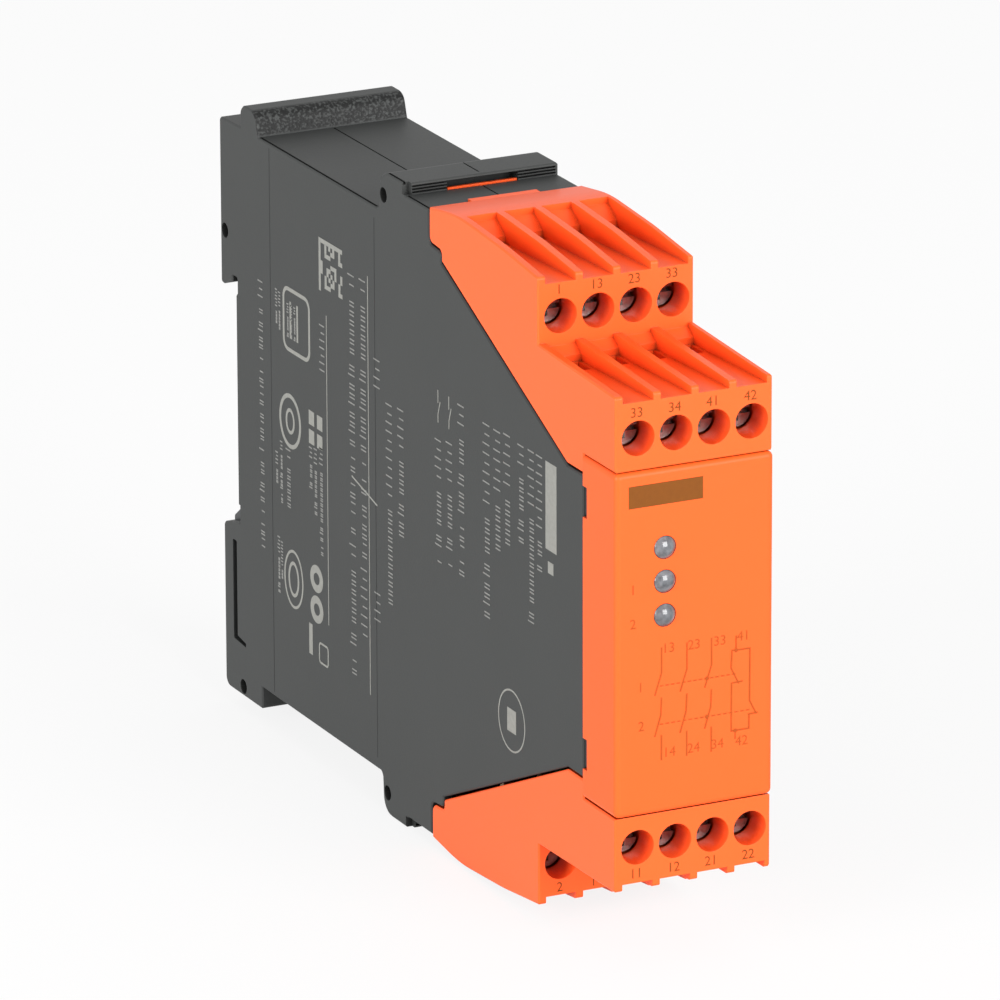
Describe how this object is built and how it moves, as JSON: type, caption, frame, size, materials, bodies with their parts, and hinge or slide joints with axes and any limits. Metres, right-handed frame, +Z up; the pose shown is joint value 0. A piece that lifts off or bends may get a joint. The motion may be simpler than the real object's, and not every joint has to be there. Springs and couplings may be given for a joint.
{
  "type": "safety relay module",
  "caption": "Narrow safety relay for a 35 mm mounting rail: dark case, orange front, stepped screw terminals above and below, indicator lights, and a sprung rail latch.",
  "frame": {"origin": "middle of the seat face that rests on the mounting rail", "axes": "+Y from the front cover to the rail, +Z up, +X to the right along the rail as seen from the front"},
  "size_m": [0.0228, 0.1217, 0.0904],
  "materials": {
    "case_plastic": "fine-grained dark grey moulding",
    "block_plastic": "orange moulding",
    "cover_plastic": "orange moulding with printed fields",
    "latch_plastic": "dark grey moulding",
    "spring_steel": "bright spring wire",
    "screw_steel": "zinc-plated steel",
    "clamp_steel": "zinc-plated steel",
    "bar_copper": "tinned copper alloy",
    "board_laminate": "green circuit board",
    "light_clear": "clear indicator body",
    "relay_case": "pale relay case",
    "capacitor_sleeve": "dark shrink sleeve",
    "component_black": "moulded component body",
    "limiter_blue": "blue dipped disc"
  },
  "bodies": {
    "case": {"case_shell_left": "case_plastic", "case_shell_right": "case_plastic", "terminal_block_top": "block_plastic", "terminal_block_bottom": "block_plastic", "front_cover": "cover_plastic", "contact_bars_top_rear": "bar_copper", "contact_bars_top_front": "bar_copper", "contact_bars_bottom_front": "bar_copper", "contact_bars_bottom_rear": "bar_copper", "main_board": "board_laminate", "light_board": "board_laminate", "indicator_light_power": "light_clear", "indicator_light_channel_1": "light_clear", "indicator_light_channel_2": "light_clear", "guided_relay_1": "relay_case", "guided_relay_2": "relay_case", "supply_capacitor": "capacitor_sleeve", "bridge_rectifier": "component_black", "surge_limiter": "limiter_blue", "controller_chip_1": "component_black", "controller_chip_2": "component_black", "latch_spring": "spring_steel"},
    "rail_latch": {"rail_latch": "latch_plastic"},
    "screw_top_rear_1": {"terminal_screw_top_rear_1": "screw_steel"},
    "clamp_top_rear_1": {"clamp_cage_top_rear_1": "clamp_steel"},
    "screw_top_rear_2": {"terminal_screw_top_rear_2": "screw_steel"},
    "clamp_top_rear_2": {"clamp_cage_top_rear_2": "clamp_steel"},
    "screw_top_rear_3": {"terminal_screw_top_rear_3": "screw_steel"},
    "clamp_top_rear_3": {"clamp_cage_top_rear_3": "clamp_steel"},
    "screw_top_rear_4": {"terminal_screw_top_rear_4": "screw_steel"},
    "clamp_top_rear_4": {"clamp_cage_top_rear_4": "clamp_steel"},
    "screw_top_front_1": {"terminal_screw_top_front_1": "screw_steel"},
    "clamp_top_front_1": {"clamp_cage_top_front_1": "clamp_steel"},
    "screw_top_front_2": {"terminal_screw_top_front_2": "screw_steel"},
    "clamp_top_front_2": {"clamp_cage_top_front_2": "clamp_steel"},
    "screw_top_front_3": {"terminal_screw_top_front_3": "screw_steel"},
    "clamp_top_front_3": {"clamp_cage_top_front_3": "clamp_steel"},
    "screw_top_front_4": {"terminal_screw_top_front_4": "screw_steel"},
    "clamp_top_front_4": {"clamp_cage_top_front_4": "clamp_steel"},
    "screw_bottom_front_1": {"terminal_screw_bottom_front_1": "screw_steel"},
    "clamp_bottom_front_1": {"clamp_cage_bottom_front_1": "clamp_steel"},
    "screw_bottom_front_2": {"terminal_screw_bottom_front_2": "screw_steel"},
    "clamp_bottom_front_2": {"clamp_cage_bottom_front_2": "clamp_steel"},
    "screw_bottom_front_3": {"terminal_screw_bottom_front_3": "screw_steel"},
    "clamp_bottom_front_3": {"clamp_cage_bottom_front_3": "clamp_steel"},
    "screw_bottom_front_4": {"terminal_screw_bottom_front_4": "screw_steel"},
    "clamp_bottom_front_4": {"clamp_cage_bottom_front_4": "clamp_steel"},
    "screw_bottom_rear_1": {"terminal_screw_bottom_rear_1": "screw_steel"},
    "clamp_bottom_rear_1": {"clamp_cage_bottom_rear_1": "clamp_steel"},
    "screw_bottom_rear_2": {"terminal_screw_bottom_rear_2": "screw_steel"},
    "clamp_bottom_rear_2": {"clamp_cage_bottom_rear_2": "clamp_steel"},
    "screw_bottom_rear_3": {"terminal_screw_bottom_rear_3": "screw_steel"},
    "clamp_bottom_rear_3": {"clamp_cage_bottom_rear_3": "clamp_steel"},
    "screw_bottom_rear_4": {"terminal_screw_bottom_rear_4": "screw_steel"},
    "clamp_bottom_rear_4": {"clamp_cage_bottom_rear_4": "clamp_steel"}
  },
  "joints": [
    {"name": "latch_slide", "type": "slide", "parent": "case", "child": "rail_latch", "axis": [0, 0, -1], "range_m": [0, 0.0025], "stiffness_N_per_m": 3000, "springref_m": -0.0015, "deforming": ["latch_spring"]},
    {"name": "turn_screw_top_rear_1", "type": "hinge", "parent": "case", "child": "screw_top_rear_1", "pos_m": [-0.00798, -0.0891, 0.0374], "axis": [0, 1, 0], "range_deg": [0, 2520]},
    {"name": "slide_clamp_top_rear_1", "type": "slide", "parent": "case", "child": "clamp_top_rear_1", "axis": [0, -1, 0], "range_m": [0, 0.0035]},
    {"name": "turn_screw_top_rear_2", "type": "hinge", "parent": "case", "child": "screw_top_rear_2", "pos_m": [-0.00256, -0.0891, 0.0374], "axis": [0, 1, 0], "range_deg": [0, 2520]},
    {"name": "slide_clamp_top_rear_2", "type": "slide", "parent": "case", "child": "clamp_top_rear_2", "axis": [0, -1, 0], "range_m": [0, 0.0035]},
    {"name": "turn_screw_top_rear_3", "type": "hinge", "parent": "case", "child": "screw_top_rear_3", "pos_m": [0.00286, -0.0891, 0.0374], "axis": [0, 1, 0], "range_deg": [0, 2520]},
    {"name": "slide_clamp_top_rear_3", "type": "slide", "parent": "case", "child": "clamp_top_rear_3", "axis": [0, -1, 0], "range_m": [0, 0.0035]},
    {"name": "turn_screw_top_rear_4", "type": "hinge", "parent": "case", "child": "screw_top_rear_4", "pos_m": [0.00828, -0.0891, 0.0374], "axis": [0, 1, 0], "range_deg": [0, 2520]},
    {"name": "slide_clamp_top_rear_4", "type": "slide", "parent": "case", "child": "clamp_top_rear_4", "axis": [0, -1, 0], "range_m": [0, 0.0035]},
    {"name": "turn_screw_top_front_1", "type": "hinge", "parent": "case", "child": "screw_top_front_1", "pos_m": [-0.00798, -0.11125, 0.0272], "axis": [0, 1, 0], "range_deg": [0, 2520]},
    {"name": "slide_clamp_top_front_1", "type": "slide", "parent": "case", "child": "clamp_top_front_1", "axis": [0, -1, 0], "range_m": [0, 0.0035]},
    {"name": "turn_screw_top_front_2", "type": "hinge", "parent": "case", "child": "screw_top_front_2", "pos_m": [-0.00256, -0.11125, 0.0272], "axis": [0, 1, 0], "range_deg": [0, 2520]},
    {"name": "slide_clamp_top_front_2", "type": "slide", "parent": "case", "child": "clamp_top_front_2", "axis": [0, -1, 0], "range_m": [0, 0.0035]},
    {"name": "turn_screw_top_front_3", "type": "hinge", "parent": "case", "child": "screw_top_front_3", "pos_m": [0.00286, -0.11125, 0.0272], "axis": [0, 1, 0], "range_deg": [0, 2520]},
    {"name": "slide_clamp_top_front_3", "type": "slide", "parent": "case", "child": "clamp_top_front_3", "axis": [0, -1, 0], "range_m": [0, 0.0035]},
    {"name": "turn_screw_top_front_4", "type": "hinge", "parent": "case", "child": "screw_top_front_4", "pos_m": [0.00828, -0.11125, 0.0272], "axis": [0, 1, 0], "range_deg": [0, 2520]},
    {"name": "slide_clamp_top_front_4", "type": "slide", "parent": "case", "child": "clamp_top_front_4", "axis": [0, -1, 0], "range_m": [0, 0.0035]},
    {"name": "turn_screw_bottom_front_1", "type": "hinge", "parent": "case", "child": "screw_bottom_front_1", "pos_m": [-0.00798, -0.11125, -0.0281], "axis": [0, 1, 0], "range_deg": [0, 2520]},
    {"name": "slide_clamp_bottom_front_1", "type": "slide", "parent": "case", "child": "clamp_bottom_front_1", "axis": [0, -1, 0], "range_m": [0, 0.0035]},
    {"name": "turn_screw_bottom_front_2", "type": "hinge", "parent": "case", "child": "screw_bottom_front_2", "pos_m": [-0.00256, -0.11125, -0.0281], "axis": [0, 1, 0], "range_deg": [0, 2520]},
    {"name": "slide_clamp_bottom_front_2", "type": "slide", "parent": "case", "child": "clamp_bottom_front_2", "axis": [0, -1, 0], "range_m": [0, 0.0035]},
    {"name": "turn_screw_bottom_front_3", "type": "hinge", "parent": "case", "child": "screw_bottom_front_3", "pos_m": [0.00286, -0.11125, -0.0281], "axis": [0, 1, 0], "range_deg": [0, 2520]},
    {"name": "slide_clamp_bottom_front_3", "type": "slide", "parent": "case", "child": "clamp_bottom_front_3", "axis": [0, -1, 0], "range_m": [0, 0.0035]},
    {"name": "turn_screw_bottom_front_4", "type": "hinge", "parent": "case", "child": "screw_bottom_front_4", "pos_m": [0.00828, -0.11125, -0.0281], "axis": [0, 1, 0], "range_deg": [0, 2520]},
    {"name": "slide_clamp_bottom_front_4", "type": "slide", "parent": "case", "child": "clamp_bottom_front_4", "axis": [0, -1, 0], "range_m": [0, 0.0035]},
    {"name": "turn_screw_bottom_rear_1", "type": "hinge", "parent": "case", "child": "screw_bottom_rear_1", "pos_m": [-0.00798, -0.0891, -0.0374], "axis": [0, 1, 0], "range_deg": [0, 2520]},
    {"name": "slide_clamp_bottom_rear_1", "type": "slide", "parent": "case", "child": "clamp_bottom_rear_1", "axis": [0, -1, 0], "range_m": [0, 0.0035]},
    {"name": "turn_screw_bottom_rear_2", "type": "hinge", "parent": "case", "child": "screw_bottom_rear_2", "pos_m": [-0.00256, -0.0891, -0.0374], "axis": [0, 1, 0], "range_deg": [0, 2520]},
    {"name": "slide_clamp_bottom_rear_2", "type": "slide", "parent": "case", "child": "clamp_bottom_rear_2", "axis": [0, -1, 0], "range_m": [0, 0.0035]},
    {"name": "turn_screw_bottom_rear_3", "type": "hinge", "parent": "case", "child": "screw_bottom_rear_3", "pos_m": [0.00286, -0.0891, -0.0374], "axis": [0, 1, 0], "range_deg": [0, 2520]},
    {"name": "slide_clamp_bottom_rear_3", "type": "slide", "parent": "case", "child": "clamp_bottom_rear_3", "axis": [0, -1, 0], "range_m": [0, 0.0035]},
    {"name": "turn_screw_bottom_rear_4", "type": "hinge", "parent": "case", "child": "screw_bottom_rear_4", "pos_m": [0.00828, -0.0891, -0.0374], "axis": [0, 1, 0], "range_deg": [0, 2520]},
    {"name": "slide_clamp_bottom_rear_4", "type": "slide", "parent": "case", "child": "clamp_bottom_rear_4", "axis": [0, -1, 0], "range_m": [0, 0.0035]}
  ],
  "couplings": [
    {"joint": "turn_screw_top_rear_1", "follows": "slide_clamp_top_rear_1", "rad_per_m": 12565},
    {"joint": "turn_screw_top_rear_2", "follows": "slide_clamp_top_rear_2", "rad_per_m": 12565},
    {"joint": "turn_screw_top_rear_3", "follows": "slide_clamp_top_rear_3", "rad_per_m": 12565},
    {"joint": "turn_screw_top_rear_4", "follows": "slide_clamp_top_rear_4", "rad_per_m": 12565},
    {"joint": "turn_screw_top_front_1", "follows": "slide_clamp_top_front_1", "rad_per_m": 12565},
    {"joint": "turn_screw_top_front_2", "follows": "slide_clamp_top_front_2", "rad_per_m": 12565},
    {"joint": "turn_screw_top_front_3", "follows": "slide_clamp_top_front_3", "rad_per_m": 12565},
    {"joint": "turn_screw_top_front_4", "follows": "slide_clamp_top_front_4", "rad_per_m": 12565},
    {"joint": "turn_screw_bottom_front_1", "follows": "slide_clamp_bottom_front_1", "rad_per_m": 12565},
    {"joint": "turn_screw_bottom_front_2", "follows": "slide_clamp_bottom_front_2", "rad_per_m": 12565},
    {"joint": "turn_screw_bottom_front_3", "follows": "slide_clamp_bottom_front_3", "rad_per_m": 12565},
    {"joint": "turn_screw_bottom_front_4", "follows": "slide_clamp_bottom_front_4", "rad_per_m": 12565},
    {"joint": "turn_screw_bottom_rear_1", "follows": "slide_clamp_bottom_rear_1", "rad_per_m": 12565},
    {"joint": "turn_screw_bottom_rear_2", "follows": "slide_clamp_bottom_rear_2", "rad_per_m": 12565},
    {"joint": "turn_screw_bottom_rear_3", "follows": "slide_clamp_bottom_rear_3", "rad_per_m": 12565},
    {"joint": "turn_screw_bottom_rear_4", "follows": "slide_clamp_bottom_rear_4", "rad_per_m": 12565}
  ]
}
